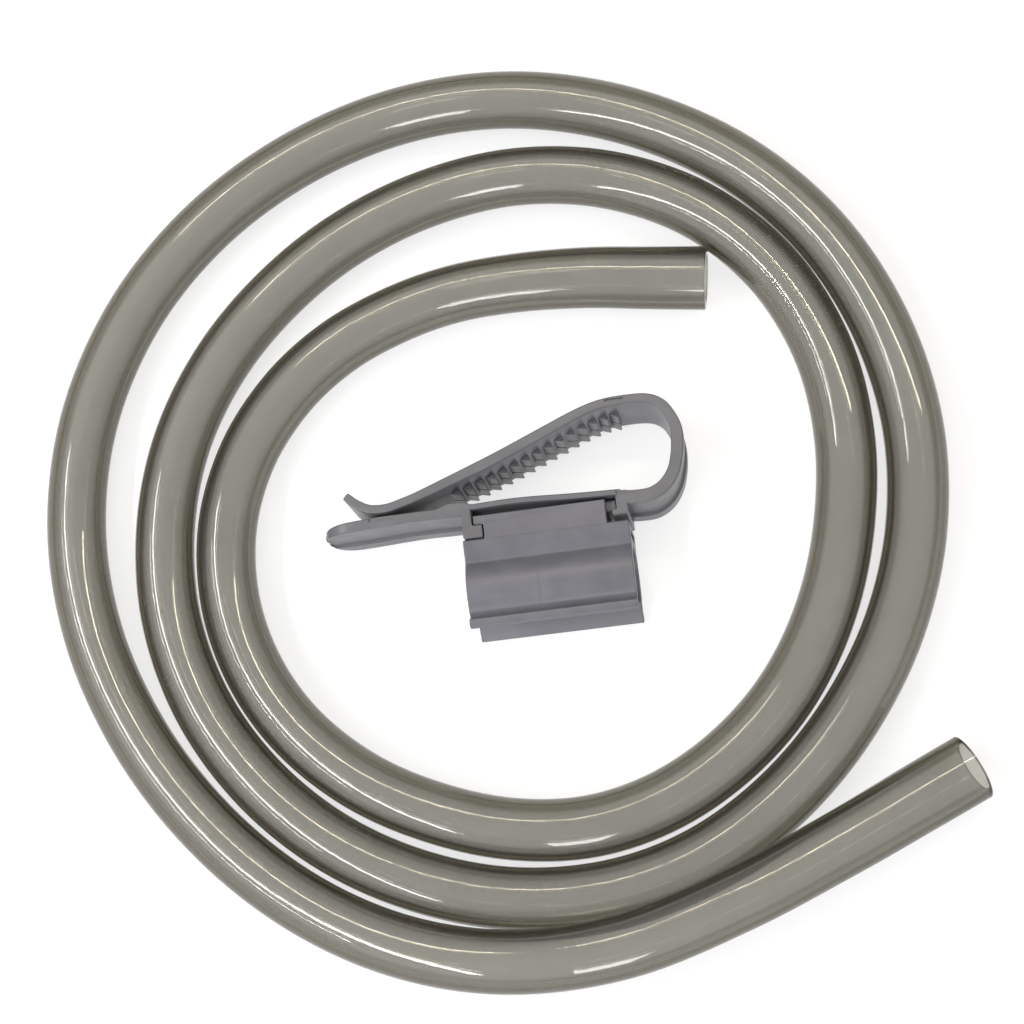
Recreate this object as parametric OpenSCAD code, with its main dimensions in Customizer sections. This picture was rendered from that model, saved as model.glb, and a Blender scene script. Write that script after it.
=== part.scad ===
// Siphon hose lying in a loose flat coil, with the clip that holds it on the rim of a tank.
// Origin at the middle of the footprint on the table, +Z up. The clip lies on its side.

/* [Hose] */
// Outside diameter of the hose
hose_od = 16; // [13:0.5:16]
// Inside diameter of the hose
hose_id = 12; // [8:0.5:12]
// Length of the straight stretch at each cut end
hose_end_len = 16; // [12:1:16]

/* [Clip] */
// Width of the clip's strap
strap_w = 20; // [18:0.5:20]
// Width of the shallow channel along the back of the strap
channel_w = 9; // [4:1:10]
// Depth of that channel
channel_deep = 0.7; // [0.3:0.1:1]
// Height of a tooth on the jaw
tooth_h = 1.3; // [1:0.1:1.8]
// Number of teeth on the jaw
tooth_count = 15; // [5:1:15]
// Turn of the clip on the table, in degrees
clip_turn = 5.5; // [3:0.5:8]

/* [Hose holder] */
// Length of the channel that the hose snaps into
holder_len = 43.6; // [42:0.2:44]
// Wall of that channel
holder_wall = 3; // [2.5:0.1:3]
// Half of the angle over which the channel is open
mouth_half_angle = 50.5; // [45:0.5:55]
// Play between the rail and the claws
rail_play = 0.2; // [0.15:0.05:0.3]

/* [Hidden] */

round_fn = 96;
cut_extra = 1;
clear_grey = [0.62, 0.61, 0.57, 0.6];
clip_grey = [0.55, 0.55, 0.59];
holder_grey = [0.62, 0.62, 0.66];

// Hose
hose_r = hose_od / 2;
bore_r = hose_id / 2;
hose_sides = 12;
// Centre line of the hose from its inner cut end, round the coil to its outer cut end.
// The last half turn climbs over the shoulder of the turn inside it, then comes down to the table.
hose_route = [
    [57.5, 62, 8], [41.5, 63, 8], [24, 64, 8], [5, 63.5, 8], [-13, 61, 8],
    [-29.5, 55.5, 8], [-45, 47, 8], [-58.5, 34.5, 8], [-69, 17.5, 8], [-74, -2.5, 8],
    [-72.5, -23.5, 8], [-65, -43, 8], [-52.5, -59.5, 8], [-35.5, -72.5, 8], [-16, -81, 8],
    [4.5, -85.5, 8], [25, -85, 8], [44.5, -78.5, 8], [62, -66.5, 8], [76, -50.5, 8],
    [86, -30.5, 8], [91.5, -8, 8], [92.5, 16.5, 8], [87.5, 41, 8], [75, 64, 8],
    [55.5, 82, 8], [31, 92.5, 8], [5, 95, 8], [-20, 90, 8], [-42.5, 79.5, 8],
    [-61.5, 64.5, 8], [-77, 45.5, 8], [-87.5, 23, 8], [-91.5, -1.5, 8], [-89, -27, 8],
    [-79.5, -51, 8], [-64, -71.5, 8], [-44, -87.5, 8], [-21, -98, 8], [4, -103, 8],
    [29.5, -101.5, 8], [52.5, -93.5, 8], [73, -79, 8], [90, -59.5, 8], [103, -35.5, 8],
    [110, -8.5, 8], [110, 20.5, 8], [102, 49.5, 8], [86.5, 76, 8], [63.5, 97.5, 8],
    [35, 112, 8], [4, 118.5, 8], [-27, 116, 8], [-56.5, 105, 8], [-82.5, 86.5, 8],
    [-102.5, 61.5, 8], [-114.5, 31.5, 8], [-117, -0.5, 8], [-110.5, -31.5, 8], [-96, -60, 8],
    [-76, -84, 8.1], [-52, -102.5, 8.8], [-25, -114.5, 11.2], [3.5, -119, 14.4], [33, -115.5, 17],
    [61.5, -104.5, 17.2], [87, -91, 13.4], [107, -79.5, 10.2], [121, -71.5, 8.6]
];

// Clip, laid out with x along its base arm, y towards the jaw and z across the strap.
// Each row gives the middle of the strap and its thickness there.
clip_at = [-7.5, -4, 1];
strap_steps = 4;
hinge_at = [58.2, 11.2];
hinge_t = 3.3;
hinge_gap = 0.15;
handle_rows = [
    [-37.4, -1, 1.9], [-34.6, -0.75, 2.5], [-27, -0.4, 2.9], [-14, 0, 2.7], [-6, -0.05, 2.8],
    [1, -0.1, 3]
];
bridge_rows = [[-2, 0.5, 1.5], [14, 0.9, 1.5], [30, 0.1, 1.5], [42, -0.4, 1.5]];
bend_rows = [
    [41, -1.6, 3.6], [46, -2.2, 3.6], [50.3, -1.9, 3.6], [53.8, 0.1, 3.5],
    [56.3, 3.5, 3.3], [57.6, 7.4, hinge_t], [hinge_at.x, hinge_at.y, hinge_t]
];
jaw_top_rows = [
    [hinge_at.x, hinge_at.y, hinge_t], [58.3, 14.8, 3.1], [57.3, 18.2, 2.9], [55.2, 21.8, 2.7],
    [51.6, 23.9, 2.5]
];
jaw_arm_rows = [
    [46, 24.4, 2.4], [39.5, 24, 2.5], [33, 22.2, 2.7], [23.6, 18.4, 2.9], [10.3, 13, 3],
    [-3, 8.3, 2.7], [-11, 5.6, 2.4], [-16, 4.2, 2.3], [-20, 3.4, 2.3]
];
lever_rows = [[-24.1, 3.7, 2.4], [-27.4, 5.4, 2.4], [-30.1, 7.8, 2.2]];
finger_corner_r = 7;
finger_past = 1;
finger_tall = 20;
rest_ramp = [[-6.7, 1], [-6.7, 1.3], [-3.2, 2.4], [0, 2.3], [3.5, 1.4], [3.5, 1]];

// Teeth
tooth_pitch = 3.17;
tooth_first_x = -2;
tooth_len = 5.8;
tooth_slit = 0.5;
tooth_low = 0.9;
tooth_sink = 0.3;
tooth_back = 1.8;
tooth_front = 0.8;
tooth_tip = 0.5;
slope_step = 1;

// Claws on the back of the base arm
claw_t = 2.6;
left_foot_len = 5.2;
left_foot_top = -4.4;
left_foot_low = -7.7;
right_claw_x = [40.6, 43.6];
right_foot_x = 39.4;
right_foot_top = -4.9;
right_foot_low = -6.4;

// Hose holder
rail_top = -1.7;
rail_half_w = 9.3;
right_lip_half_w = 7;
neck_x = [left_foot_len + rail_play, 37.7];
rail_x = [claw_t + rail_play, right_claw_x[0] - rail_play];
shoulder_y = left_foot_low - rail_play;
holder_x = -0.3;
channel_y = -21.2;
holder_r = hose_r + holder_wall;
crease_half_w = 8.4;
crease_y = -14;
lip_reach = 10;
lip_half_w = [9.1, 10.7];
lip_flat = 0.4;
lip_root = 1;
core_half_w = 5.6;
core_y = [-11.2, -6];

// Smooth curves through rows of numbers
function row_at(rows, i) =
    i < 0 ? 2 * rows[0] - rows[1]
    : i >= len(rows) ? 2 * rows[len(rows) - 1] - rows[len(rows) - 2]
    : rows[i];
function between(a, b, c, d, f) =
    0.5 * (2 * b + (c - a) * f + (2 * a - 5 * b + 4 * c - d) * f ^ 2 + (3 * b - 3 * c + d - a) * f ^ 3);
function smooth(rows, steps) = [
    for (i = [0 : len(rows) - 2], k = [0 : steps - 1])
        between(row_at(rows, i - 1), rows[i], rows[i + 1], row_at(rows, i + 2), k / steps),
    rows[len(rows) - 1]
];
function unit(v) = v / norm(v);
function direction(rows, i) = unit(row_at(rows, i + 1) - row_at(rows, i - 1));

// A round hollow tube along a nearly level line
function ring(centre, dir, r) =
    let (side = unit(cross([0, 0, 1], dir)), up = cross(dir, side))
    [for (s = [0 : hose_sides - 1])
        centre + r * (cos(360 * s / hose_sides) * side + sin(360 * s / hose_sides) * up)];
function wall_points(rows, first, last, r) =
    [for (i = [first : last]) each ring(rows[i], direction(rows, i), r)];
function strip(a, b, c, d) = [[a, b, c], [a, c, d]];
function wall_faces(rings, start, inward) = [
    for (i = [0 : rings - 2], s = [0 : hose_sides - 1])
        let (
            a = start + i * hose_sides + s,
            b = start + i * hose_sides + (s + 1) % hose_sides,
            c = b + hose_sides,
            d = a + hose_sides
        )
        each (inward ? strip(d, c, b, a) : strip(a, b, c, d))
];
function end_faces(outer, inner, flip) = [
    for (s = [0 : hose_sides - 1])
        let (t = (s + 1) % hose_sides)
        each (flip
            ? strip(outer + s, outer + t, inner + t, inner + s)
            : strip(inner + s, inner + t, outer + t, outer + s))
];

module hose_tube(rows, first, last) {
    rings = last - first + 1;
    inner = rings * hose_sides;
    last_ring = (rings - 1) * hose_sides;
    polyhedron(
        points = concat(wall_points(rows, first, last, hose_r), wall_points(rows, first, last, bore_r)),
        faces = concat(
            wall_faces(rings, 0, false),
            wall_faces(rings, inner, true),
            end_faces(0, inner, false),
            end_faces(last_ring, inner + last_ring, true)
        ),
        convexity = 10
    );
}

module cut_end(at, dir) {
    translate(at)
        rotate([0, acos(dir.z), atan2(dir.y, dir.x)])
            difference() {
                cylinder(r = hose_r, h = hose_end_len, $fn = round_fn);
                translate([0, 0, -cut_extra])
                    cylinder(r = bore_r, h = hose_end_len + 2 * cut_extra, $fn = round_fn);
            }
}

module hose_coil() {
    color(clear_grey) hose_tube(hose_route, 1, len(hose_route) - 2);
}

module hose_inner_end() {
    color(clear_grey) cut_end(hose_route[1], -direction(hose_route, 1));
}

module hose_outer_end() {
    last = len(hose_route) - 2;
    color(clear_grey) cut_end(hose_route[last], direction(hose_route, last));
}

// A strap that is swept along rows of [x, y, thickness]. Its back is on the right of its direction.
function across(rows, i) =
    let (d = row_at(rows, i + 1) - row_at(rows, i - 1))
    unit([d.y, -d.x]);
function edge(rows, share, extra) =
    [for (i = [0 : len(rows) - 1])
        [rows[i].x, rows[i].y] + (share * rows[i].z / 2 + extra) * across(rows, i)];
function turned(list) = [for (i = [len(list) - 1 : -1 : 0]) list[i]];

module strap(rows) {
    linear_extrude(strap_w) polygon(concat(edge(rows, 1, 0), turned(edge(rows, -1, 0))));
}

module back_channel(rows) {
    translate([0, 0, (strap_w - channel_w) / 2])
        linear_extrude(channel_w)
            polygon(concat(edge(rows, 1, cut_extra), turned(edge(rows, 1, -channel_deep))));
}

module strap_with_channel(rows) {
    difference() {
        strap(rows);
        back_channel(rows);
    }
}

module bar(x, y, z0, z1) {
    translate([x[0], y[0], z0]) cube([x[1] - x[0], y[1] - y[0], z1 - z0]);
}

// The finger plate's outline, seen square on, with its two free corners rounded
module finger_outline() {
    tip = handle_rows[0].x - finger_past;
    translate([0, finger_tall / 2, 0])
        rotate([90, 0, 0])
            linear_extrude(finger_tall) {
                translate([tip + finger_corner_r, 0]) square([-tip, strap_w]);
                translate([tip, finger_corner_r]) square([-tip, strap_w - 2 * finger_corner_r]);
                translate([tip + finger_corner_r, finger_corner_r])
                    circle(r = finger_corner_r, $fn = round_fn);
                translate([tip + finger_corner_r, strap_w - finger_corner_r])
                    circle(r = finger_corner_r, $fn = round_fn);
            }
}

module on_table() {
    translate(clip_at) rotate([0, 0, clip_turn]) children();
}

module clip_base() {
    color(clip_grey)
        on_table() {
            intersection() {
                strap_with_channel(smooth(handle_rows, strap_steps));
                finger_outline();
            }
            strap(smooth(bridge_rows, strap_steps));
            strap_with_channel(smooth(bend_rows, strap_steps));
            translate(hinge_at) cylinder(d = hinge_t, h = strap_w, $fn = round_fn);
            linear_extrude(strap_w) polygon(rest_ramp);
            bar([0, claw_t], [left_foot_low, 0], 0, strap_w);
            bar([0, left_foot_len], [left_foot_low, left_foot_top], 0, strap_w);
            bar(right_claw_x, [right_foot_low, 0], 0, strap_w);
            bar([right_foot_x, right_claw_x[1]], [right_foot_low, right_foot_top], 0, strap_w);
        }
}

// Height and slope of the jaw arm's middle, and its thickness, at a place along the clip
jaw_line = smooth(turned(jaw_arm_rows), strap_steps);
function arm_y(x) = lookup(x, [for (p = jaw_line) [p.x, p.y]]);
function arm_t(x) = lookup(x, [for (p = jaw_line) [p.x, p.z]]);
function arm_slope(x) = atan2(arm_y(x + slope_step) - arm_y(x - slope_step), 2 * slope_step);

module tooth(z0) {
    translate([0, 0, z0])
        linear_extrude(tooth_len)
            polygon([
                [-tooth_back, tooth_sink], [tooth_front, tooth_sink],
                [tooth_front, -tooth_h], [tooth_front - tooth_tip, -tooth_h], [-tooth_back, 0]
            ]);
}

module clip_jaw() {
    middle = strap_w / 2;
    color(clip_grey)
        on_table() {
            difference() {
                strap_with_channel(smooth(concat(jaw_top_rows, jaw_arm_rows, lever_rows), strap_steps));
                translate([hinge_at.x, hinge_at.y, -cut_extra])
                    cylinder(d = hinge_t + 2 * hinge_gap, h = strap_w + 2 * cut_extra, $fn = round_fn);
            }
            for (k = [0 : tooth_count - 1]) {
                x = tooth_first_x + k * tooth_pitch;
                translate([x, arm_y(x), 0])
                    rotate([0, 0, arm_slope(x)])
                        translate([0, -arm_t(x) / 2, 0]) {
                            tooth(tooth_low);
                            tooth(tooth_low + tooth_len + tooth_slit);
                        }
            }
        }
}

// The holder's outline across the hose, with its channel open at the bottom
module holder_outline() {
    mouth = 2 * holder_r;
    mouth_x = mouth * sin(mouth_half_angle);
    mouth_y = mouth * cos(mouth_half_angle);
    throat = hose_r * sin(mouth_half_angle);
    difference() {
        union() {
            translate([0, channel_y]) circle(r = holder_r, $fn = round_fn);
            polygon([
                [-rail_half_w, shoulder_y], [rail_half_w, shoulder_y], [crease_half_w, crease_y],
                [crease_half_w, channel_y], [-crease_half_w, channel_y], [-crease_half_w, crease_y]
            ]);
        }
        translate([0, channel_y]) circle(r = hose_r, $fn = round_fn);
        translate([0, channel_y]) polygon([[0, 0], [mouth_x, -mouth_y], [-mouth_x, -mouth_y]]);
    }
    for (side = [-1, 1])
        translate([0, channel_y])
            polygon([
                [side * throat, -hose_r * cos(mouth_half_angle)],
                [side * crease_half_w, -holder_r * cos(mouth_half_angle)],
                [side * lip_half_w[1], -lip_reach],
                [side * lip_half_w[0], -lip_reach - lip_flat],
                [side * throat, -hose_r * cos(mouth_half_angle) - lip_root]
            ]);
}

module hose_holder() {
    middle = strap_w / 2;
    color(holder_grey)
        on_table() {
            difference() {
                union() {
                    translate([holder_x, 0, middle])
                        rotate([0, 90, 0]) linear_extrude(holder_len) holder_outline();
                    bar(neck_x, [shoulder_y - cut_extra, rail_top],
                        middle - rail_half_w, middle + rail_half_w);
                }
                bar([holder_x - cut_extra, holder_x + holder_len + cut_extra], core_y,
                    middle - core_half_w, middle + core_half_w);
            }
            bar([rail_x[0], neck_x[1]], [left_foot_top + rail_play, rail_top],
                middle - rail_half_w, middle + rail_half_w);
            bar([neck_x[1], rail_x[1]], [right_foot_top + rail_play, rail_top],
                middle - right_lip_half_w, middle + right_lip_half_w);
        }
}

hose_coil();
hose_inner_end();
hose_outer_end();
clip_base();
clip_jaw();
hose_holder();
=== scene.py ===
from math import acos, atan2, cos, pi, radians, sin, sqrt

import bmesh
import bpy
from mathutils import Matrix, Vector


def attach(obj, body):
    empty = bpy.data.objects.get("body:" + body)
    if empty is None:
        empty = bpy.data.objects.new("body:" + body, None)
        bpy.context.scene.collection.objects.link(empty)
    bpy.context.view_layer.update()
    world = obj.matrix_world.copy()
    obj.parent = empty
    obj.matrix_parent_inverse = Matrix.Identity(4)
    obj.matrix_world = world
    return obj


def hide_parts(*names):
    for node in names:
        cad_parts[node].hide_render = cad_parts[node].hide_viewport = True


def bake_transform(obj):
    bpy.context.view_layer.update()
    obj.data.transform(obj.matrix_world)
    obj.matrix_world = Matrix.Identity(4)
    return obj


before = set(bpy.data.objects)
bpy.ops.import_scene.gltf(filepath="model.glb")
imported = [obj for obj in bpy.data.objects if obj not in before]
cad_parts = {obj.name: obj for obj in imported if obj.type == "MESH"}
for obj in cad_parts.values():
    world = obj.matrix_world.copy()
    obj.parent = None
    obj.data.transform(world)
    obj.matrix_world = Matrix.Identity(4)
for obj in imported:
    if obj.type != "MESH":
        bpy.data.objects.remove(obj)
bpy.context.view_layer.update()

scene = bpy.context.scene
scene.view_settings.view_transform = "Standard"

MM = 0.001
UP = Vector((0, 0, 1))


# ---------------------------------------------------------------- camera
VIEW_AZIMUTH = radians(29)
VIEW_ELEVATION = radians(73.4)
VIEW_TARGET = Vector((0.0042, -0.0015, 0.008))
VIEW_DISTANCE = 0.534
VIEW_LENS = 70.3125


def make_camera():
    """A camera that looks down at the coil, with the row's +Y pointing up in the picture."""
    back = Vector((
        sin(VIEW_AZIMUTH) * cos(VIEW_ELEVATION),
        -cos(VIEW_AZIMUTH) * cos(VIEW_ELEVATION),
        sin(VIEW_ELEVATION),
    ))
    north = Vector((0, 1, 0))
    upward = (north - north.dot(back) * back).normalized()
    right = upward.cross(back)
    data = bpy.data.cameras.new("camera")
    data.lens = VIEW_LENS
    camera = bpy.data.objects.new("camera", data)
    camera.matrix_world = Matrix.Translation(VIEW_TARGET + VIEW_DISTANCE * back) @ Matrix((
        (right.x, upward.x, back.x, 0),
        (right.y, upward.y, back.y, 0),
        (right.z, upward.z, back.z, 0),
        (0, 0, 0, 1),
    ))
    scene.collection.objects.link(camera)
    scene.camera = camera


make_camera()


# ---------------------------------------------------------------- curves and meshes
def between(a, b, c, d, f):
    """The point at share f from b to c on a smooth curve through a, b, c and d."""
    out = []
    for p, q, r, s in zip(a, b, c, d):
        linear = (r - p) * f
        square = (2 * p - 5 * q + 4 * r - s) * f ** 2
        cube = (3 * q - 3 * r + s - p) * f ** 3
        out.append(0.5 * (2 * q + linear + square + cube))
    return out


def row_at(rows, i):
    """Row i, or the one that carries on straight past either end."""
    if i < 0:
        return [2 * p - q for p, q in zip(rows[0], rows[1])]
    if i >= len(rows):
        return [2 * p - q for p, q in zip(rows[-1], rows[-2])]
    return list(rows[i])


def smooth(rows, steps):
    """The rows, with steps - 1 more between each two on a smooth curve."""
    out = []
    for i in range(len(rows) - 1):
        four = [row_at(rows, i + k) for k in (-1, 0, 1, 2)]
        out += [between(*four, k / steps) for k in range(steps)]
    return out + [list(rows[-1])]


def ease(f):
    """0 before 0, 1 after 1, and smooth between."""
    f = min(max(f, 0.0), 1.0)
    return f * f * (3 - 2 * f)


def mesh_object(name, points, faces):
    """A new object from points and faces."""
    mesh = bpy.data.meshes.new(name)
    mesh.from_pydata([tuple(p) for p in points], [], faces)
    mesh.update()
    obj = bpy.data.objects.new(name, mesh)
    scene.collection.objects.link(obj)
    return obj


def tube_faces(rings, around, start=0, inward=False):
    """The quads between rings of points that lie one after another."""
    faces = []
    for i in range(rings - 1):
        for k in range(around):
            a = start + i * around + k
            b = start + i * around + (k + 1) % around
            quad = [a, b, b + around, a + around]
            faces.append(quad[::-1] if inward else quad)
    return faces


def shade(obj, sharp_angle=35):
    """Smooth shading, with edges sharper than the angle in degrees left crisp."""
    mesh = obj.data
    mesh.shade_smooth()
    mesh.set_sharp_from_angle(angle=radians(sharp_angle))


def applied(obj):
    """Replaces obj's mesh by what its modifiers make of it."""
    bpy.context.view_layer.update()
    evaluated = obj.evaluated_get(bpy.context.evaluated_depsgraph_get())
    mesh = bpy.data.meshes.new_from_object(evaluated)
    obj.modifiers.clear()
    obj.data = mesh


def even_normals(obj):
    """Normals that keep large flat faces flat beside small round ones."""
    modifier = obj.modifiers.new("normals", "WEIGHTED_NORMAL")
    modifier.keep_sharp = True
    applied(obj)


# ---------------------------------------------------------------- hose
# The centre line of the hose in part.scad, in metres, from its inner cut end to its outer one
HOSE_ROUTE = [
    (0.0575, 0.062, 0.008), (0.0415, 0.063, 0.008), (0.024, 0.064, 0.008), (0.005, 0.0635, 0.008),
    (-0.013, 0.061, 0.008), (-0.0295, 0.0555, 0.008), (-0.045, 0.047, 0.008), (-0.0585, 0.0345, 0.008),
    (-0.069, 0.0175, 0.008), (-0.074, -0.0025, 0.008), (-0.0725, -0.0235, 0.008), (-0.065, -0.043, 0.008),
    (-0.0525, -0.0595, 0.008), (-0.0355, -0.0725, 0.008), (-0.016, -0.081, 0.008),
    (0.0045, -0.0855, 0.008), (0.025, -0.085, 0.008), (0.0445, -0.0785, 0.008), (0.062, -0.0665, 0.008),
    (0.076, -0.0505, 0.008), (0.086, -0.0305, 0.008), (0.0915, -0.008, 0.008), (0.0925, 0.0165, 0.008),
    (0.0875, 0.041, 0.008), (0.075, 0.064, 0.008), (0.0555, 0.082, 0.008), (0.031, 0.0925, 0.008),
    (0.005, 0.095, 0.008), (-0.02, 0.09, 0.008), (-0.0425, 0.0795, 0.008), (-0.0615, 0.0645, 0.008),
    (-0.077, 0.0455, 0.008), (-0.0875, 0.023, 0.008), (-0.0915, -0.0015, 0.008), (-0.089, -0.027, 0.008),
    (-0.0795, -0.051, 0.008), (-0.064, -0.0715, 0.008), (-0.044, -0.0875, 0.008), (-0.021, -0.098, 0.008),
    (0.004, -0.103, 0.008), (0.0295, -0.1015, 0.008), (0.0525, -0.0935, 0.008), (0.073, -0.079, 0.008),
    (0.09, -0.0595, 0.008), (0.103, -0.0355, 0.008), (0.11, -0.0085, 0.008), (0.11, 0.0205, 0.008),
    (0.102, 0.0495, 0.008), (0.0865, 0.076, 0.008), (0.0635, 0.0975, 0.008), (0.035, 0.112, 0.008),
    (0.004, 0.1185, 0.008), (-0.027, 0.116, 0.008), (-0.0565, 0.105, 0.008), (-0.0825, 0.0865, 0.008),
    (-0.1025, 0.0615, 0.008), (-0.1145, 0.0315, 0.008), (-0.117, -0.0005, 0.008),
    (-0.1105, -0.0315, 0.008), (-0.096, -0.06, 0.008), (-0.076, -0.084, 0.0081),
    (-0.052, -0.1025, 0.0088), (-0.025, -0.1145, 0.0112), (0.0035, -0.119, 0.0144),
    (0.033, -0.1155, 0.017), (0.0615, -0.1045, 0.0172), (0.087, -0.091, 0.0134), (0.107, -0.0795, 0.0102),
    (0.121, -0.0715, 0.0086),
]
# Sizes in metres. Near its cut ends the hose is wider by END_SWELL, fading over SWELL_LENGTH.
HOSE_RADIUS = 0.008
BORE_RADIUS = 0.006
CUT_LENGTH = 0.016
END_SWELL = 0.085
SWELL_LENGTH = 0.075
LIP = 0.00025
HOSE_SIDES = 48
HOSE_SHARP = 40
HOSE_STEPS = 8
CUT_STEPS = 6


def hose_line():
    """Points close together along the hose's centre line. Its last stretch at each end is straight."""
    line = [Vector(p) for p in smooth(HOSE_ROUTE, HOSE_STEPS)]
    line = line[HOSE_STEPS : len(line) - HOSE_STEPS]
    line = [Vector((p.x, p.y, max(p.z, HOSE_RADIUS))) for p in line]
    first = (Vector(HOSE_ROUTE[0]) - Vector(HOSE_ROUTE[2])).normalized()
    last = (Vector(HOSE_ROUTE[-1]) - Vector(HOSE_ROUTE[-3])).normalized()
    steps = [CUT_LENGTH * k / CUT_STEPS for k in range(1, CUT_STEPS + 1)]
    return [line[0] + s * first for s in reversed(steps)] + line + [line[-1] + s * last for s in steps]


def directions(line):
    """The direction of the line at each of its points."""
    out = []
    for i in range(len(line)):
        out.append((line[min(i + 1, len(line) - 1)] - line[max(i - 1, 0)]).normalized())
    return out


def lengths_along(line):
    """How far along the line each of its points is."""
    out = [0.0]
    for a, b in zip(line, line[1:]):
        out.append(out[-1] + (b - a).length)
    return out


def hose_ring(centre, direction, radius, swell):
    """A ring of points round the hose. Near its cut ends the hose is a little wider than in its bends."""
    side = UP.cross(direction).normalized()
    top = direction.cross(side)
    ring = []
    for k in range(HOSE_SIDES):
        angle = 2 * pi * k / HOSE_SIDES
        ring.append(centre + radius * ((1 + swell) * cos(angle) * side + sin(angle) * top))
    return ring


def hose_stations(line, dirs, swells, radius, inset):
    """Where the rings of one surface of the hose go. Its end rings are inset, to round the cut rims."""
    first, last = 0, len(line) - 1
    out = [
        (line[first], dirs[first], radius + inset, swells[first]),
        (line[first] + LIP * dirs[first], dirs[first], radius, swells[first]),
    ]
    out += [(line[i], dirs[i], radius, swells[i]) for i in range(first + 1, last)]
    out += [
        (line[last] - LIP * dirs[last], dirs[last], radius, swells[last]),
        (line[last], dirs[last], radius + inset, swells[last]),
    ]
    return out


def make_hose(material):
    line = hose_line()
    dirs = directions(line)
    along = lengths_along(line)
    total = along[-1]
    swells = [END_SWELL * ease(1 - min(s, total - s) / SWELL_LENGTH) for s in along]
    outer = hose_stations(line, dirs, swells, HOSE_RADIUS, -LIP)
    inner = hose_stations(line, dirs, swells, BORE_RADIUS, LIP)
    points = []
    for station in outer + inner:
        points += hose_ring(*station)
    bore = len(outer) * HOSE_SIDES
    faces = tube_faces(len(outer), HOSE_SIDES)
    faces += tube_faces(len(inner), HOSE_SIDES, bore, inward=True)
    last = bore - HOSE_SIDES
    for k in range(HOSE_SIDES):
        n = (k + 1) % HOSE_SIDES
        faces.append([n, k, bore + k, bore + n])
        faces.append([last + k, last + n, bore + last + n, bore + last + k])
    hose = mesh_object("siphon_hose", points, faces)
    shade(hose, HOSE_SHARP)
    hose.data.materials.append(material)
    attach(hose, "hose")
    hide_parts("hose_coil", "hose_inner_end", "hose_outer_end")


# ---------------------------------------------------------------- materials
def new_material(name):
    """A material with its nodes cleared to a Principled shader, and a helper that adds nodes to it."""
    material = bpy.data.materials.new(name)
    material.use_nodes = True
    nodes = material.node_tree.nodes
    links = material.node_tree.links
    shader = nodes["Principled BSDF"]

    def add(kind, inputs=(), **settings):
        node = nodes.new(kind)
        for key, value in settings.items():
            setattr(node, key, value)
        for key, value in dict(inputs).items():
            if isinstance(value, bpy.types.NodeSocket):
                links.new(value, node.inputs[key])
            else:
                node.inputs[key].default_value = value
        return node

    return material, shader, add, links


def noise(add, place, scale, detail=3.0, roughness=0.55, stretch=(1, 1, 1)):
    """A noise texture at that many features to the metre."""
    mapping = add("ShaderNodeMapping", {"Vector": place, "Scale": stretch})
    node = add("ShaderNodeTexNoise", {
        "Vector": mapping.outputs["Vector"], "Scale": scale, "Detail": detail, "Roughness": roughness,
    })
    return node.outputs["Fac"]


def remap(add, value, low, high, to_low, to_high):
    """value from low to high, spread from to_low to to_high and held there."""
    node = add("ShaderNodeMapRange", {
        "Value": value, "From Min": low, "From Max": high, "To Min": to_low, "To Max": to_high,
    })
    return node.outputs["Result"]


def hose_material():
    """Clear smoke-grey flexible PVC, tinted in its depth. Its colour is also darker where its wall is seen
    edge on: painted shade for the hose's dark edge bands.
    """
    material, shader, add, links = new_material("clear_smoke_pvc")
    place = add("ShaderNodeTexCoord").outputs["Object"]
    haze = noise(add, place, 55, detail=5)
    smears = noise(add, place, 380, detail=4, roughness=0.7)
    both = add("ShaderNodeMath", {0: haze, 1: smears}, operation="MULTIPLY").outputs[0]
    links.new(remap(add, both, 0.2, 0.42, 0.01, 0.05), shader.inputs["Roughness"])
    tint = add("ShaderNodeMixRGB", {
        "Fac": remap(add, haze, 0.35, 0.65, 0, 1),
        "Color1": (0.96, 0.96, 0.95, 1), "Color2": (1.0, 1.0, 1.0, 1),
    })
    # Painted shade: the colour turns dark brown where the surface is seen at a grazing angle, which gives
    # the hose dark edges
    painted_edge_shade = remap(add, add("ShaderNodeLayerWeight").outputs["Facing"], 0.27, 0.42, 0, 1)
    tint_with_painted_edge_shade = add("ShaderNodeMixRGB", {
        "Fac": painted_edge_shade, "Color1": tint.outputs["Color"], "Color2": (0.33, 0.30, 0.23, 1),
    })
    links.new(tint_with_painted_edge_shade.outputs["Color"], shader.inputs["Base Color"])
    shader.inputs["Transmission Weight"].default_value = 0.93
    shader.inputs["IOR"].default_value = 1.5
    depth = add("ShaderNodeVolumeAbsorption", {"Color": (0.68, 0.672, 0.625, 1), "Density": 1000.0})
    output = material.node_tree.nodes["Material Output"]
    links.new(depth.outputs["Volume"], output.inputs["Volume"])
    return material


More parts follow.
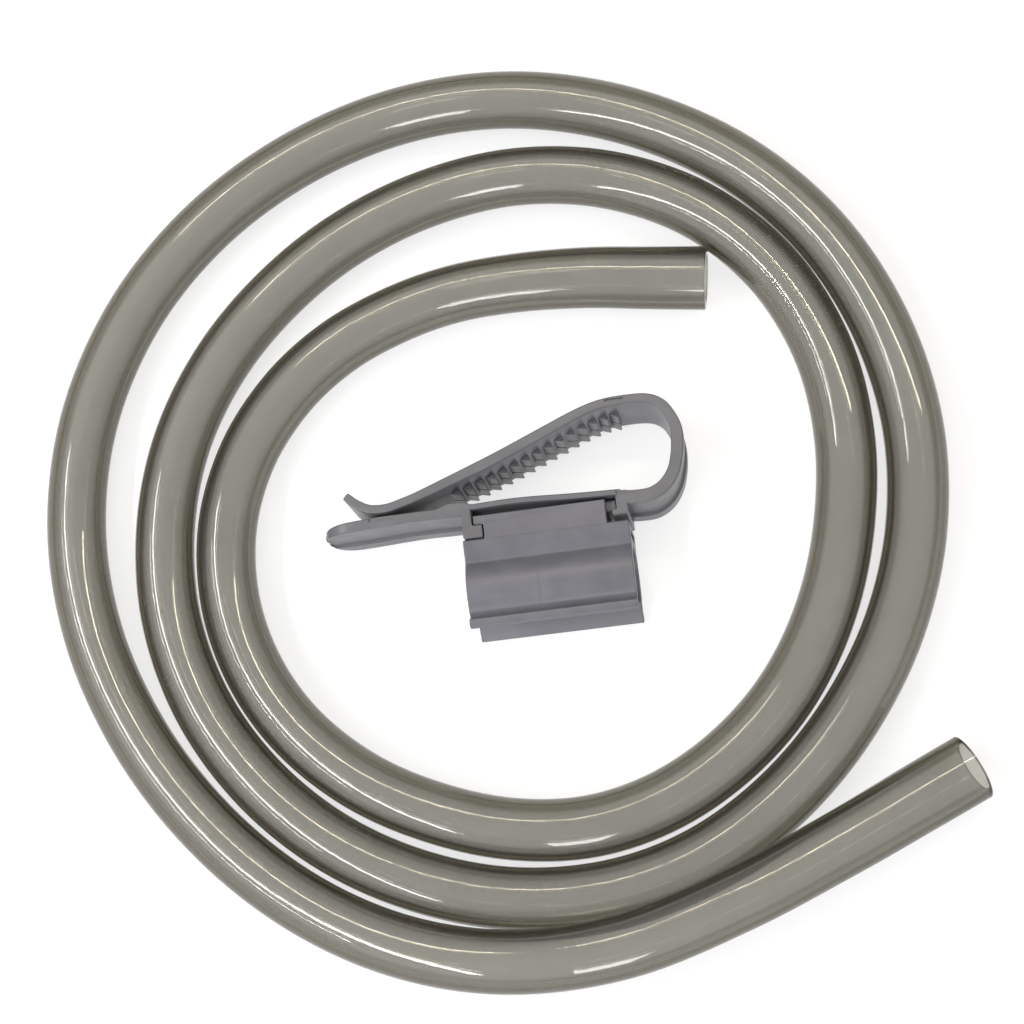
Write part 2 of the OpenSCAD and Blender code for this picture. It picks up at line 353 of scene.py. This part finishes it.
def plastic_material(name, low, high, gloss):
    """Moulded grey plastic: faint flow marks and mottling in its colour, and gloss that varies."""
    material, shader, add, links = new_material(name)
    place = add("ShaderNodeTexCoord").outputs["Object"]
    mottle = noise(add, place, 160, detail=6, roughness=0.6)
    flow = noise(add, place, 60, detail=3, stretch=(0.35, 1, 1))
    both = add("ShaderNodeMath", {0: mottle, 1: flow}, operation="ADD").outputs[0]
    ramp = add("ShaderNodeMixRGB", {
        "Fac": remap(add, both, 0.75, 1.25, 0, 1), "Color1": (*low, 1), "Color2": (*high, 1),
    })
    links.new(ramp.outputs["Color"], shader.inputs["Base Color"])
    grain = noise(add, place, 2600, detail=2)
    links.new(remap(add, mottle, 0.35, 0.65, gloss, gloss + 0.12), shader.inputs["Roughness"])
    shader.inputs["IOR"].default_value = 1.5
    bump = add("ShaderNodeBump", {"Height": grain, "Strength": 0.12, "Distance": 0.0002})
    dents = add("ShaderNodeBump", {
        "Height": flow, "Strength": 0.25, "Distance": 0.001, "Normal": bump.outputs["Normal"],
    })
    links.new(dents.outputs["Normal"], shader.inputs["Normal"])
    return material


make_hose(hose_material())


# ---------------------------------------------------------------- clip
# Laid out in millimetres with x along its base arm, y towards the jaw and z across the strap
CLIP_AT = Vector((-7.5, -4, 1))
CLIP_TURN = radians(5.5)
clip_place = Matrix.Scale(MM, 4) @ Matrix.Translation(CLIP_AT) @ Matrix.Rotation(CLIP_TURN, 4, "Z")
STRAP_W = 20
MIDDLE = STRAP_W / 2
STRAP_STEPS = 8
EDGE_R = 0.45
EDGE_SHARE = 0.45
EDGE_STEPS = 4
# Extra points beside the round edges and the channel keep the flat faces flat
FLAT_PAST_EDGE = 0.25
FLAT_PAST_SLOPE = 0.2
CHANNEL_HALF = 4.5
CHANNEL_TO_EDGE = 1.6
CHANNEL_SLOPE = 0.45
CHANNEL_STEPS = 4
# Rows of the strap: x, y of its middle, its thickness and the depth of the channel along its back
HANDLE_ROWS = [
    (-37.4, -1, 1.9, 0.45), (-34.6, -0.75, 2.5, 0.7), (-27, -0.4, 2.9, 0.7), (-14, 0, 2.7, 0.7),
    (-6, -0.05, 2.8, 0.7), (1, -0.1, 3, 0.7),
]
BRIDGE_ROWS = [(-2, 0.5, 1.5, 0), (14, 0.9, 1.5, 0), (30, 0.1, 1.5, 0), (42, -0.4, 1.5, 0)]
BEND_ROWS = [
    (41, -1.6, 3.6, 0.7), (46, -2.2, 3.6, 0.7), (50.3, -1.9, 3.6, 0.7), (53.8, 0.1, 3.5, 0.7),
    (56.3, 3.5, 3.3, 0.7), (57.6, 7.4, 3.3, 0.7), (58.2, 11.2, 3.3, 0.7), (58.3, 14.8, 3.1, 0.7),
    (57.3, 18.2, 2.9, 0.7), (55.2, 21.8, 2.7, 0.7), (51.6, 23.9, 2.5, 0.7), (46, 24.4, 2.4, 0.7),
    (39.5, 24, 2.5, 0.7), (33, 22.2, 2.7, 0.7), (23.6, 18.4, 2.9, 0.7), (10.3, 13, 3, 0.7),
    (-3, 8.3, 2.7, 0.7), (-11, 5.6, 2.4, 0.7), (-16, 4.2, 2.3, 0.6), (-20, 3.4, 2.3, 0.5),
    (-24.1, 3.7, 2.4, 0.5), (-27.4, 5.4, 2.4, 0.4), (-30.1, 7.8, 2.2, 0.3),
]
# The bend's own piece runs from one of these rows to the other, and the teeth lie beyond the third
BEND_FIRST = 1
BEND_LAST = 13
ARM_FIRST = 11
FINGER_CORNER_R = 7


def strap_section(thick, half, deep):
    """The outline across the strap: (distance across from the middle, distance towards its back)."""
    edge = min(EDGE_R, EDGE_SHARE * thick)
    channel = min(CHANNEL_HALF, half - CHANNEL_TO_EDGE)
    flat = half - edge - FLAT_PAST_EDGE
    right = [(0, -thick / 2), (flat, -thick / 2)]
    for k in range(EDGE_STEPS + 1):
        angle = pi / 2 * k / EDGE_STEPS
        right.append((half - edge + edge * sin(angle), -thick / 2 + edge - edge * cos(angle)))
    for k in range(EDGE_STEPS + 1):
        angle = pi / 2 * k / EDGE_STEPS
        right.append((half - edge + edge * cos(angle), thick / 2 - edge + edge * sin(angle)))
    right += [(flat, thick / 2), (channel + CHANNEL_SLOPE + FLAT_PAST_SLOPE, thick / 2)]
    for k in range(CHANNEL_STEPS + 1):
        f = k / CHANNEL_STEPS
        right.append((channel + CHANNEL_SLOPE * (1 - 2 * f), thick / 2 - deep * ease(f)))
    right.append((channel - CHANNEL_SLOPE - FLAT_PAST_SLOPE, thick / 2 - deep))
    left = [(-u, v) for u, v in reversed(right[1:])]
    return right + [(0, thick / 2 - deep)] + left


def strap_ring(rows, i, half, trim=0.0, shift=0.0):
    """The strap's outline at row i in millimetres, trimmed all round and shifted along the strap."""
    x, y, thick, deep = rows[i]
    before, after = row_at(rows, i - 1), row_at(rows, i + 1)
    along = Vector((after[0] - before[0], after[1] - before[1], 0)).normalized()
    across = Vector((along.y, -along.x, 0))
    centre = Vector((x, y, MIDDLE)) + shift * along
    section = strap_section(thick - 2 * trim, half - trim, deep)
    return [centre + v * across + u * UP for u, v in section]


def strap(rows, half_at=lambda x: STRAP_W / 2, round_start=False, round_end=False):
    """Points and faces of a strap swept along rows, closed at both ends."""
    rings = [strap_ring(rows, i, half_at(rows[i][0])) for i in range(len(rows))]
    for wanted, i, sign in ((round_start, 0, -1), (round_end, len(rows) - 1, 1)):
        if not wanted:
            continue
        extra = []
        for k in range(1, EDGE_STEPS + 1):
            angle = pi / 2 * k / EDGE_STEPS
            trim = EDGE_R * (1 - cos(angle))
            extra.append(strap_ring(rows, i, half_at(rows[i][0]), trim, sign * EDGE_R * sin(angle)))
        rings = extra[::-1] + rings if sign < 0 else rings + extra
    around = len(rings[0])
    points = [p for ring in rings for p in ring]
    faces = tube_faces(len(rings), around)
    last = (len(rings) - 1) * around
    faces.append(list(range(around))[::-1])
    faces.append([last + k for k in range(around)])
    return points, faces


def finger_half(x):
    """Half the handle's width at x, where its free corners are round."""
    tip = HANDLE_ROWS[0][0]
    inside = FINGER_CORNER_R - (x - tip)
    if inside <= 0:
        return STRAP_W / 2
    return STRAP_W / 2 - FINGER_CORNER_R + sqrt(max(FINGER_CORNER_R ** 2 - inside ** 2, 0))


RIM_STEPS = 2
# Points closer together than this are one
WELD = 1e-4


def prism(outlines, low, high, round_edge, turn=Matrix.Identity(4)):
    """Points and faces of outlines in millimetres, extruded from low to high along z, with rounded rims.
    An outline inside another one is a hole. turn places the result."""
    curve = bpy.data.curves.new("prism", "CURVE")
    curve.dimensions = "2D"
    curve.fill_mode = "BOTH"
    curve.extrude = (high - low) / 2 - round_edge
    curve.bevel_depth = round_edge
    curve.bevel_resolution = RIM_STEPS
    curve.offset = -round_edge
    for outline in outlines:
        spline = curve.splines.new("POLY")
        spline.points.add(len(outline) - 1)
        for point, (x, y) in zip(spline.points, outline):
            point.co = (x, y, 0, 1)
        spline.use_cyclic_u = True
    obj = bpy.data.objects.new("prism", curve)
    scene.collection.objects.link(obj)
    bpy.context.view_layer.update()
    mesh = obj.to_mesh()
    bm = bmesh.new()
    bm.from_mesh(mesh)
    bmesh.ops.remove_doubles(bm, verts=bm.verts, dist=WELD)
    bmesh.ops.recalc_face_normals(bm, faces=bm.faces)
    bm.verts.index_update()
    place = turn @ Matrix.Translation((0, 0, (low + high) / 2))
    points = [place @ v.co for v in bm.verts]
    faces = [[v.index for v in f.verts] for f in bm.faces]
    bm.free()
    obj.to_mesh_clear()
    bpy.data.objects.remove(obj)
    bpy.data.curves.remove(curve)
    return points, faces


def boolean(obj, operation, solid):
    """Adds a closed solid to obj or takes it away."""
    other = mesh_object("solid", *solid)
    modifier = obj.modifiers.new("boolean", "BOOLEAN")
    modifier.operation = operation
    modifier.solver = "MANIFOLD"
    modifier.object = other
    applied(obj)
    bpy.data.objects.remove(other)


def joined(name, solids, place, material, body, nodes=(), cuts=()):
    """One object: closed solids in millimetres, less the cuts. It rides on body unless that is None."""
    obj = mesh_object(name, *solids[0])
    for solid in solids[1:]:
        boolean(obj, "UNION", solid)
    for solid in cuts:
        boolean(obj, "DIFFERENCE", solid)
    obj.data.transform(place)
    shade(obj)
    even_normals(obj)
    obj.data.materials.clear()
    obj.data.materials.append(material)
    if body is not None:
        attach(obj, body)
    if nodes:
        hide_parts(*nodes)
    return obj


# A corner this close to straight is left as it is
STRAIGHT = radians(88)


def rounded(corners, steps=5):
    """An outline from its corners in order: x, y and radius of each."""
    out = []
    n = len(corners)
    for i, (x, y, radius) in enumerate(corners):
        at = Vector((x, y))
        to_before = (Vector(corners[i - 1][:2]) - at).normalized()
        to_after = (Vector(corners[(i + 1) % n][:2]) - at).normalized()
        half = acos(max(-1, min(1, to_before.dot(to_after)))) / 2
        if radius <= 0 or half > STRAIGHT:
            out.append((x, y))
            continue
        reach = radius * cos(half) / sin(half)
        centre = at + (to_before + to_after).normalized() * radius / sin(half)
        start = at + reach * to_before - centre
        end = at + reach * to_after - centre
        first = atan2(start.y, start.x)
        sweep = (atan2(end.y, end.x) - first + pi) % (2 * pi) - pi
        for k in range(steps + 1):
            angle = first + sweep * k / steps
            out.append((centre.x + radius * cos(angle), centre.y + radius * sin(angle)))
    return out


# The claws that hold the holder's rail, and the ramp over the first of them
CLAW_T = 2.6
LEFT_FOOT_LEN = 5.2
LEFT_FOOT_TOP = -4.4
LEFT_FOOT_LOW = -7.7
LEFT_CLAW = [
    (0, 0.8, 0.2), (0, LEFT_FOOT_LOW, 0.5), (LEFT_FOOT_LEN, LEFT_FOOT_LOW, 0.3),
    (LEFT_FOOT_LEN, LEFT_FOOT_TOP, 0.3), (CLAW_T, LEFT_FOOT_TOP, 0.4), (CLAW_T, 0.8, 0.2),
]
RIGHT_CLAW_X = (40.6, 43.6)
RIGHT_FOOT_X = 39.4
RIGHT_FOOT_TOP = -4.9
RIGHT_FOOT_LOW = -6.4
RIGHT_CLAW = [
    (RIGHT_CLAW_X[0], 0, 0.2), (RIGHT_CLAW_X[0], RIGHT_FOOT_TOP, 0.3), (RIGHT_FOOT_X, RIGHT_FOOT_TOP, 0.25),
    (RIGHT_FOOT_X, RIGHT_FOOT_LOW, 0.25), (RIGHT_CLAW_X[1], RIGHT_FOOT_LOW, 0.5), (RIGHT_CLAW_X[1], 0, 0.2),
]
RAMP = [(-6.7, 0.6, 0), (3.5, 0.6, 0), (3.5, 1.3, 0.1), (0, 2.3, 1.2), (-3.2, 2.4, 2), (-6.7, 1.2, 0.3)]
RIM_R = 0.3


def clip_base_solids():
    """The finger plate, the bridge over the rail, the start of the bend, both claws and the ramp."""
    return [
        strap(smooth(HANDLE_ROWS, STRAP_STEPS), finger_half, round_start=True),
        strap(smooth(BRIDGE_ROWS, STRAP_STEPS)),
        strap(smooth(BEND_ROWS, STRAP_STEPS)[: BEND_FIRST * STRAP_STEPS + 1]),
        prism([rounded(LEFT_CLAW)], 0, STRAP_W, RIM_R),
        prism([rounded(RIGHT_CLAW)], 0, STRAP_W, RIM_R),
        prism([rounded(RAMP)], 0, STRAP_W, RIM_R),
    ]


# Shallow marks in the near edge of the strap: the low and high corner of each, in x and y
MARK_DEEP = 0.45
BASE_MARKS = [((-24.6, 0.1), (-17.7, 2)), ((40.8, -1.2), (45.6, 1))]
BEND_MARKS = [((40.5, 24.2), (45.5, 24.9))]


def mark(low, high):
    """The solid that one shallow mark takes away."""
    return prism([[low, (high[0], low[1]), high, (low[0], high[1])]], STRAP_W - MARK_DEEP, STRAP_W + 1, 0)


# Teeth: two rows of ridges across the jaw's inner face, each rising slowly and falling steeply
TOOTH_PITCH = 3.17
TOOTH_FIRST_X = -2
TOOTH_COUNT = 15
TOOTH_LEN = 5.8
TOOTH_SLIT = 0.5
TOOTH_LOW = 0.9
TOOTH_H = 1.3
TOOTH_SINK = 0.3
TOOTH_RIM = 0.15
TOOTH_STEPS = 3
TOOTH = [
    (-1.8, TOOTH_SINK, 0), (-1.8, 0, 0.05), (0.3, -TOOTH_H, 0.12), (0.8, -TOOTH_H, 0.12),
    (0.8, TOOTH_SINK, 0),
]


def jaw_rows():
    """The rows of the strap beyond the bend's own piece."""
    return smooth(BEND_ROWS, STRAP_STEPS)[BEND_LAST * STRAP_STEPS :]


def jaw_at(rows, x):
    """The middle of the jaw arm at x, its thickness and its slope."""
    for a, b in zip(rows, rows[1:]):
        if b[0] <= x <= a[0]:
            f = (a[0] - x) / (a[0] - b[0])
            return a[1] + f * (b[1] - a[1]), a[2] + f * (b[2] - a[2]), atan2(a[1] - b[1], a[0] - b[0])
    raise ValueError(x)


def tooth_solids():
    """Both rows of teeth, each tooth square to the arm where it stands."""
    solids = []
    rows = smooth(BEND_ROWS, STRAP_STEPS)[ARM_FIRST * STRAP_STEPS :]
    outline = rounded(TOOTH, TOOTH_STEPS)
    for k in range(TOOTH_COUNT):
        x = TOOTH_FIRST_X + k * TOOTH_PITCH
        y, thick, slope = jaw_at(rows, x)
        place = (
            Matrix.Translation((x, y, 0)) @ Matrix.Rotation(slope, 4, "Z")
            @ Matrix.Translation((0, -thick / 2, 0))
        )
        for low in (TOOTH_LOW, TOOTH_LOW + TOOTH_LEN + TOOTH_SLIT):
            solids.append(prism([outline], low, low + TOOTH_LEN, TOOTH_RIM, place))
    return solids


# Hose holder: the rail in the claws, a neck, and a C-shaped channel round the hose's seat
RAIL_PLAY = 0.2
RAIL_TOP = -1.7
RAIL_HALF_W = 9.3
RIGHT_LIP_HALF_W = 7
HOLDER_LEN = 43.6
HOLDER_X = -0.3
HOLDER_RIM = 0.3
NECK_X = (LEFT_FOOT_LEN + RAIL_PLAY, 37.7)
RAIL_X = (CLAW_T + RAIL_PLAY, RIGHT_CLAW_X[0] - RAIL_PLAY)
BAR_CORNER_R = 0.25
BAR_STEPS = 4
BAR_PAST_NECK = 1
NECK_SINK = 0.6
SHOULDER_Y = LEFT_FOOT_LOW - RAIL_PLAY
SHOULDER_CUT = 0.4
CHANNEL_Y = -21.2
SEAT_R = 8
HOLDER_R = 11
CREASE_HALF_W = 8.4
CREASE_Y = -14
CREASE_TURN = radians(2)
# Points down the neck's side: across and y
NECK_SIDE = [(9.25, -10.2), (9, -11.6), (8.65, -12.8), (CREASE_HALF_W, -13.6)]
MOUTH_HALF = radians(50.5)
LIP_TURN = radians(4)
# Points round the stepped lip, from the channel's middle
LIP_SIDE = [
    (8.45, -7.35), (8.6, -7.6), (10.2, -7.9), (10.55, -8.2), (10.7, -9.7), (10.5, -10.1), (9.25, -10.4),
    (9, -10.25),
]
LIP_INSIDE = (-0.02, -0.6)
CORE_HALF_W = 5.6
CORE_Y = (-11.2, SHOULDER_Y - 1)
ARC_STEPS = 20
SEAM_X = 18.4
SEAM_W = 0.22
SEAM_PROUD = 0.08
SEAM_DEEP = 1
SEAM_FROM = 56
SEAM_TO = 120


def holder_outline():
    """The holder's outline across the hose, half worked out and half mirrored: (across, y)."""
    half = [(RAIL_HALF_W - SHOULDER_CUT, SHOULDER_Y), (RAIL_HALF_W, SHOULDER_Y - SHOULDER_CUT)] + NECK_SIDE
    first = atan2(CREASE_HALF_W, CREASE_Y - CHANNEL_Y) + CREASE_TURN
    last = pi - MOUTH_HALF - LIP_TURN
    for k in range(ARC_STEPS + 1):
        angle = first + (last - first) * k / ARC_STEPS
        half.append((HOLDER_R * sin(angle), CHANNEL_Y + HOLDER_R * cos(angle)))
    half += [(u, CHANNEL_Y + v) for u, v in LIP_SIDE]
    mouth = pi - MOUTH_HALF
    half.append((SEAT_R * sin(mouth) + LIP_INSIDE[0], CHANNEL_Y + SEAT_R * cos(mouth) + LIP_INSIDE[1]))
    for k in range(ARC_STEPS):
        angle = mouth * (1 - k / ARC_STEPS)
        half.append((SEAT_R * sin(angle), CHANNEL_Y + SEAT_R * cos(angle)))
    return half + [(0, CHANNEL_Y + SEAT_R)] + [(-u, v) for u, v in reversed(half)]


def bar(x, y, half):
    """A solid between two values of x and of y, across the middle of the strap's width."""
    corners = [(x[i], y[j], BAR_CORNER_R) for i, j in ((0, 0), (1, 0), (1, 1), (0, 1))]
    return prism([rounded(corners, BAR_STEPS)], MIDDLE - half, MIDDLE + half, HOLDER_RIM)


def holder_solids():
    """The channel with its neck and seam, and the rail's three bars."""
    # The outline lies in x and y here. Turned, its x runs down the strap's width and its length along x.
    turn = Matrix.Translation((0, 0, MIDDLE)) @ Matrix.Rotation(pi / 2, 4, "Y")
    core = [
        (-CORE_HALF_W, CORE_Y[0]), (CORE_HALF_W, CORE_Y[0]), (CORE_HALF_W, CORE_Y[1]),
        (-CORE_HALF_W, CORE_Y[1]),
    ]
    # A fine mould seam stands proud on the upper side of the channel
    arc = [radians(SEAM_FROM + (SEAM_TO - SEAM_FROM) * k / ARC_STEPS) for k in range(ARC_STEPS + 1)]
    ridge = [(-sin(angle), cos(angle), HOLDER_R + SEAM_PROUD) for angle in arc]
    root = [(-sin(angle), cos(angle), HOLDER_R - SEAM_DEEP) for angle in reversed(arc)]
    seam = [(r * u, CHANNEL_Y + r * v) for u, v, r in ridge + root]
    left = (RAIL_X[0], NECK_X[0] + BAR_PAST_NECK)
    right = (NECK_X[1] - BAR_PAST_NECK, RAIL_X[1])
    return [
        prism([holder_outline(), core], HOLDER_X, HOLDER_X + HOLDER_LEN, HOLDER_RIM, turn),
        prism([seam], SEAM_X, SEAM_X + SEAM_W, 0, turn),
        bar(NECK_X, (SHOULDER_Y - NECK_SINK, RAIL_TOP), RAIL_HALF_W),
        bar(left, (LEFT_FOOT_TOP + RAIL_PLAY, RAIL_TOP), RAIL_HALF_W),
        bar(right, (RIGHT_FOOT_TOP + RAIL_PLAY, RAIL_TOP), RIGHT_LIP_HALF_W),
    ]


clip_plastic = plastic_material("clip_plastic", (0.105, 0.104, 0.116), (0.128, 0.127, 0.140), 0.3)
holder_plastic = plastic_material("holder_plastic", (0.110, 0.109, 0.128), (0.136, 0.135, 0.157), 0.3)

bend_part = smooth(BEND_ROWS, STRAP_STEPS)[BEND_FIRST * STRAP_STEPS : BEND_LAST * STRAP_STEPS + 1]
joined(
    "rim_clip_base", clip_base_solids(), clip_place, clip_plastic, "clip", ["clip_base"],
    [mark(*corners) for corners in BASE_MARKS],
)
clip_bend = joined(
    "rim_clip_bend", [strap(bend_part)], clip_place, clip_plastic, None,
    cuts=[mark(*corners) for corners in BEND_MARKS],
)
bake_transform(clip_bend)
joined(
    "rim_clip_jaw", [strap(jaw_rows(), round_end=True)] + tooth_solids(), clip_place, clip_plastic, "jaw",
    ["clip_jaw"],
)
joined(
    "holder_body", holder_solids(), clip_place, holder_plastic, "holder", ["hose_holder"],
)


# ---------------------------------------------------------------- stage and light
# Radius and height of the floor's rings: flat, and turned up far away so that a low camera sees no edge
FLOOR_RINGS = [(4, 0), (4.6, 0.08), (4.9, 0.25), (5, 0.5)]
FLOOR_SIDES = 64


def make_floor():
    """A wide white floor that glows a little, so that shadows on it stay light."""
    points = []
    for radius, height in FLOOR_RINGS:
        for k in range(FLOOR_SIDES):
            angle = 2 * pi * k / FLOOR_SIDES
            points.append((radius * cos(angle), radius * sin(angle), height))
    faces = [list(range(FLOOR_SIDES))] + tube_faces(len(FLOOR_RINGS), FLOOR_SIDES)
    floor = mesh_object("floor", points, faces)
    shade(floor)
    material, shader = new_material("floor")[:2]
    shader.inputs["Base Color"].default_value = (0.33, 0.33, 0.33, 1)
    shader.inputs["Roughness"].default_value = 0.9
    shader.inputs["Specular IOR Level"].default_value = 0.0
    shader.inputs["Emission Color"].default_value = (1, 1, 1, 1)
    shader.inputs["Emission Strength"].default_value = 0.72
    floor.data.materials.append(material)


def make_lamp(name, at, size, power, tint=(1, 1, 1)):
    """A flat lamp that hangs level and shines down, like a ceiling light."""
    data = bpy.data.lights.new(name, "AREA")
    data.shape = "RECTANGLE"
    data.size, data.size_y = size
    data.energy = power
    data.color = tint
    lamp = bpy.data.objects.new(name, data)
    lamp.location = at
    scene.collection.objects.link(lamp)


def make_world(horizon, zenith):
    """Soft light from all round, brightest overhead towards the front and dark low down behind."""
    world = bpy.data.worlds.new("studio")
    world.use_nodes = True
    nodes = world.node_tree.nodes
    links = world.node_tree.links
    place = nodes.new("ShaderNodeTexCoord")
    height = nodes.new("ShaderNodeVectorMath")
    height.operation = "DOT_PRODUCT"
    height.inputs[1].default_value = (0.0, -0.42, 0.91)
    spread = nodes.new("ShaderNodeMapRange")
    spread.interpolation_type = "SMOOTHSTEP"
    spread.inputs["From Min"].default_value = 0.1
    spread.inputs["From Max"].default_value = 0.5
    spread.inputs["To Min"].default_value = horizon
    spread.inputs["To Max"].default_value = zenith
    links.new(place.outputs["Generated"], height.inputs[0])
    links.new(height.outputs["Value"], spread.inputs["Value"])
    links.new(spread.outputs["Result"], nodes["Background"].inputs["Strength"])
    nodes["Background"].inputs["Color"].default_value = (1, 1, 1, 1)
    scene.world = world


make_floor()
make_world(0.06, 0.7)
make_lamp("left_strip", (-0.65, -0.5, 1.0), (0.08, 1.7), 12.5)
make_lamp("far_left_strip", (-0.95, -0.3, 1.0), (0.035, 1.2), 4)
make_lamp("back_strip", (0.2, 0.48, 1.0), (1.2, 0.035), 4, (1.0, 0.9, 0.68))
make_lamp("front_panel", (0.05, -1.9, 1.0), (0.5, 0.9), 18)
